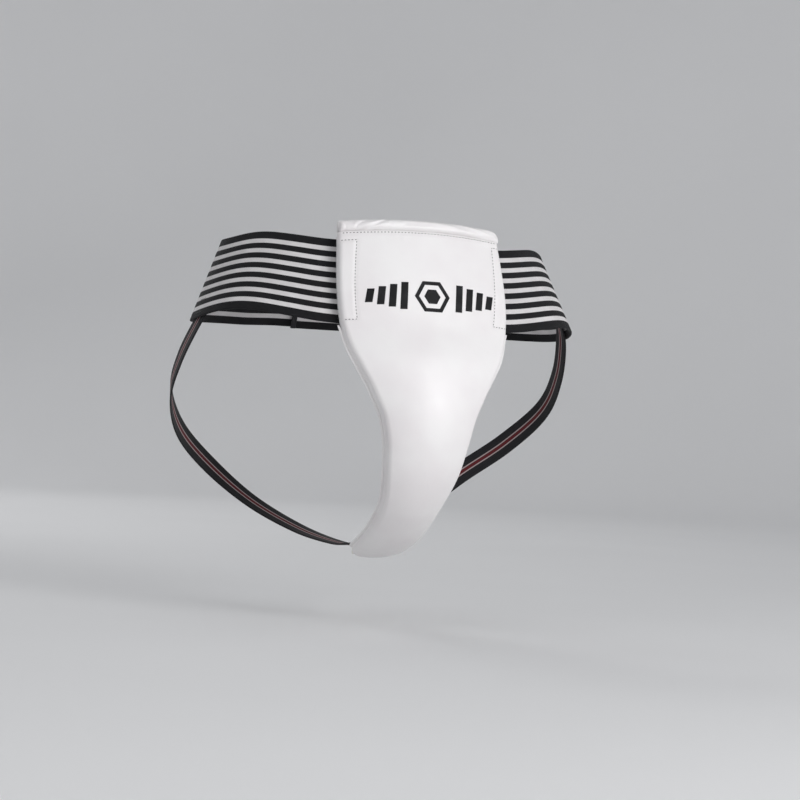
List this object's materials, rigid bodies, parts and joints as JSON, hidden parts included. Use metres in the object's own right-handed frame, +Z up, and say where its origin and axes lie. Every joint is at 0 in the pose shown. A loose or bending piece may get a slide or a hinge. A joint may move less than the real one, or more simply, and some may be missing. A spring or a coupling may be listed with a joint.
{
  "type": "groin protector",
  "caption": "Padded groin guard: white faux-leather front with a hard cup inside, striped elastic waistband that opens at the back, and two elastic leg straps.",
  "frame": {"origin": "centre of the waist opening at the waistband's mid height", "axes": "+Z up the wearer's body, -Y out of the wearer's front, +X to the wearer's left"},
  "size_m": [0.3562, 0.2696, 0.2888],
  "materials": {
    "white_leather": "satin white faux leather, fine grain",
    "foam": "matte closed-cell foam",
    "cup_plastic": "satin moulded polypropylene",
    "rim_rubber": "matte soft edging",
    "lining_cloth": "brushed knit lining",
    "strap_elastic": "woven black elastic with thin red and grey lines",
    "striped_elastic": "knitted elastic, black and white stripes",
    "black_webbing": "black woven tab",
    "loop_pile": "fuzzy loop pile",
    "hook_nylon": "rows of tiny nylon hooks",
    "black_binding": "black grosgrain binding"
  },
  "bodies": {
    "root": {"front_cover": "white_leather", "foam_pad": "foam", "cup_shell": "cup_plastic", "cup_liner": "lining_cloth", "cup_rim": "rim_rubber", "back_lining": "lining_cloth", "top_roll": "white_leather", "top_roll_core": "foam", "leg_strap_left": "strap_elastic", "leg_strap_right": "strap_elastic", "side_band_left": "striped_elastic", "side_band_right": "striped_elastic", "loop_tape": "loop_pile", "loop_end_binding": "black_binding"},
    "rear_band": {"rear_band": "striped_elastic"},
    "hook_tab": {"hook_tab": "black_webbing", "hook_tape": "hook_nylon", "tab_end_binding": "black_binding"},
    "tail": {"tail_cover": "white_leather", "tail_foam": "foam", "tail_lining": "lining_cloth", "tail_end_cap": "white_leather", "strap_anchor_left": "strap_elastic", "strap_anchor_right": "strap_elastic"}
  },
  "joints": [
    {"name": "rear_opening", "type": "hinge", "parent": "root", "child": "rear_band", "pos_m": [-0.15245, 0.02826, -0.00312], "axis": [0.2949, -0.1149, 0.9486], "range_deg": [0, 70]},
    {"name": "tab_peel", "type": "hinge", "parent": "rear_band", "child": "hook_tab", "pos_m": [0.0084, 0.11308, 0.0002], "axis": [-0.0111, -0.3088, 0.9511], "range_deg": [0, 60]},
    {"name": "tail_flex", "type": "hinge", "parent": "root", "child": "tail", "pos_m": [0, -0.10296, -0.19442], "axis": [-1, 0, 0], "range_deg": [0, 25], "stiffness_Nm_per_rad": 0.5}
  ]
}
